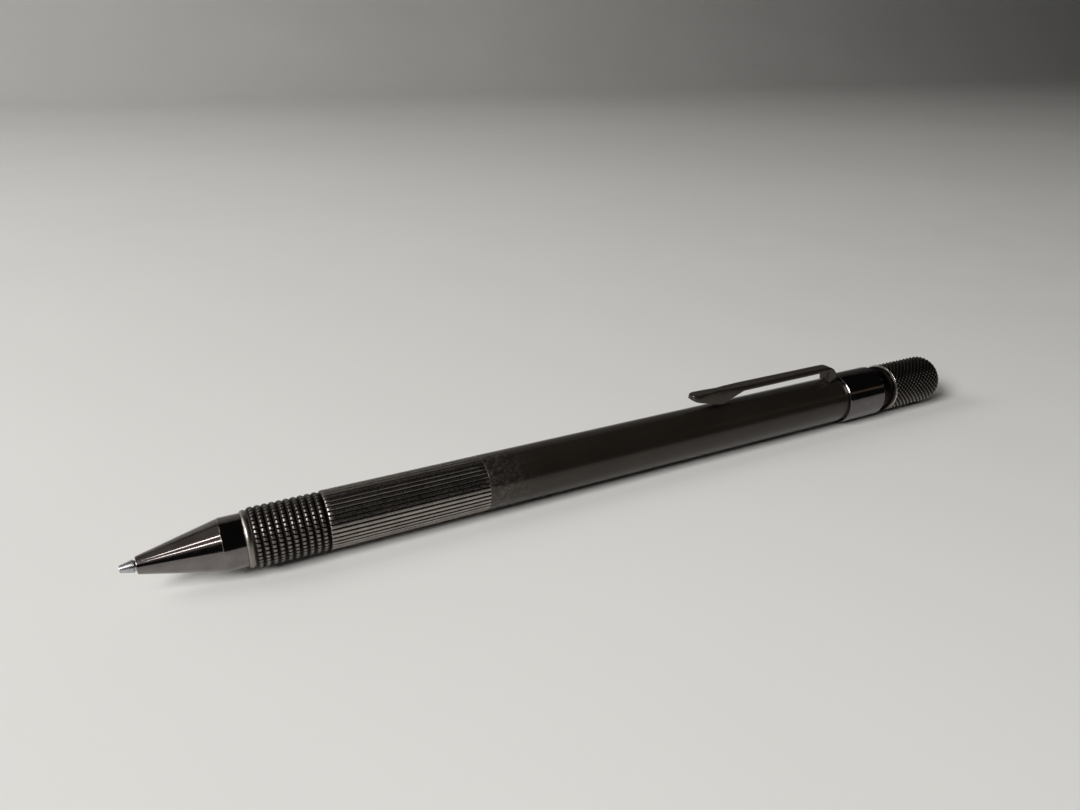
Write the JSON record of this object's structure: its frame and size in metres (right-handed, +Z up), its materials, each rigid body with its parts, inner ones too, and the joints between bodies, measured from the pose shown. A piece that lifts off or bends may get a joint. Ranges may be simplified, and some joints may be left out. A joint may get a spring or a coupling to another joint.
{
  "type": "mechanical pencil",
  "caption": "Slim all-metal push-button mechanical pencil with a turned ring grip, spring clip, polished collar, knurled cap and a full lead clutch inside.",
  "frame": {"origin": "on the resting surface, under the middle of the pencil's length and width", "axes": "+X along the pencil from the writing tip to the push button, +Z up through the clip, +Y across"},
  "size_m": [0.1412, 0.009, 0.0114],
  "materials": {
    "polished_gunmetal": "polished dark gunmetal plating with fine turning lines",
    "turned_gunmetal": "satin dark gunmetal plating, brighter on the ring crests",
    "knurled_gunmetal": "satin dark gunmetal plating over a diamond knurl",
    "satin_black": "satin black-brown coating with light wear",
    "black_chrome": "polished black chrome",
    "bright_steel": "bright turned steel",
    "spring_steel": "drawn spring wire",
    "brass": "machined brass",
    "black_rubber": "soft black rubber",
    "tube_plastic": "milky plastic",
    "graphite": "dark grey graphite with a dull shine",
    "white_eraser": "matte white eraser"
  },
  "bodies": {
    "barrel": {"grip_tube": "turned_gunmetal", "joint_bush": "brass", "barrel_tube": "satin_black", "chuck_guide": "brass", "return_spring": "spring_steel", "rear_bush": "brass", "clip_ring": "satin_black", "collar": "black_chrome"},
    "clip": {"clip_arm": "satin_black"},
    "nose_thread": {"lead_retainer": "black_rubber"},
    "nose": {"nose_cone": "polished_gunmetal", "lead_sleeve": "bright_steel"},
    "push_rod": {"chuck": "brass", "chuck_holder": "brass", "lead_tube": "tube_plastic", "spare_leads": "graphite", "button_sleeve": "bright_steel"},
    "clutch": {"chuck_ring": "brass"},
    "lead": {"working_lead": "graphite"},
    "eraser_plug": {"eraser_ferrule": "bright_steel", "eraser": "white_eraser"},
    "cap": {"button_cap": "knurled_gunmetal"}
  },
  "joints": [
    {"name": "button_push", "type": "slide", "parent": "barrel", "child": "push_rod", "axis": [-1, 0, 0], "range_m": [0, 0.0019], "stiffness_N_per_m": 1500, "springref_m": -0.001, "deforming": ["return_spring"]},
    {"name": "clutch_slide", "type": "slide", "parent": "barrel", "child": "clutch", "axis": [-1, 0, 0], "range_m": [0, 0.0006]},
    {"name": "lead_feed", "type": "slide", "parent": "clutch", "child": "lead", "axis": [-1, 0, 0], "range_m": [0, 0.005]},
    {"name": "nose_unscrew", "type": "hinge", "parent": "nose_thread", "child": "nose", "pos_m": [-0.056, 0, 0.0045], "axis": [-1, 0, 0], "range_deg": [0, 3600]},
    {"name": "nose_advance", "type": "slide", "parent": "barrel", "child": "nose_thread", "axis": [-1, 0, 0], "range_m": [0, 0.006]},
    {"name": "plug_pull", "type": "slide", "parent": "push_rod", "child": "eraser_plug", "axis": [1, 0, 0], "range_m": [0, 0.006]},
    {"name": "cap_pull", "type": "slide", "parent": "eraser_plug", "child": "cap", "axis": [1, 0, 0], "range_m": [0, 0.008]},
    {"name": "clip_flex", "type": "hinge", "parent": "barrel", "child": "clip", "pos_m": [0.0449, 0, 0.00866], "axis": [0, 1, 0], "range_deg": [0, 3.5], "stiffness_Nm_per_rad": 2}
  ],
  "couplings": [
    {"joint": "clutch_slide", "follows": "button_push", "ratio": 0.3157}
  ]
}
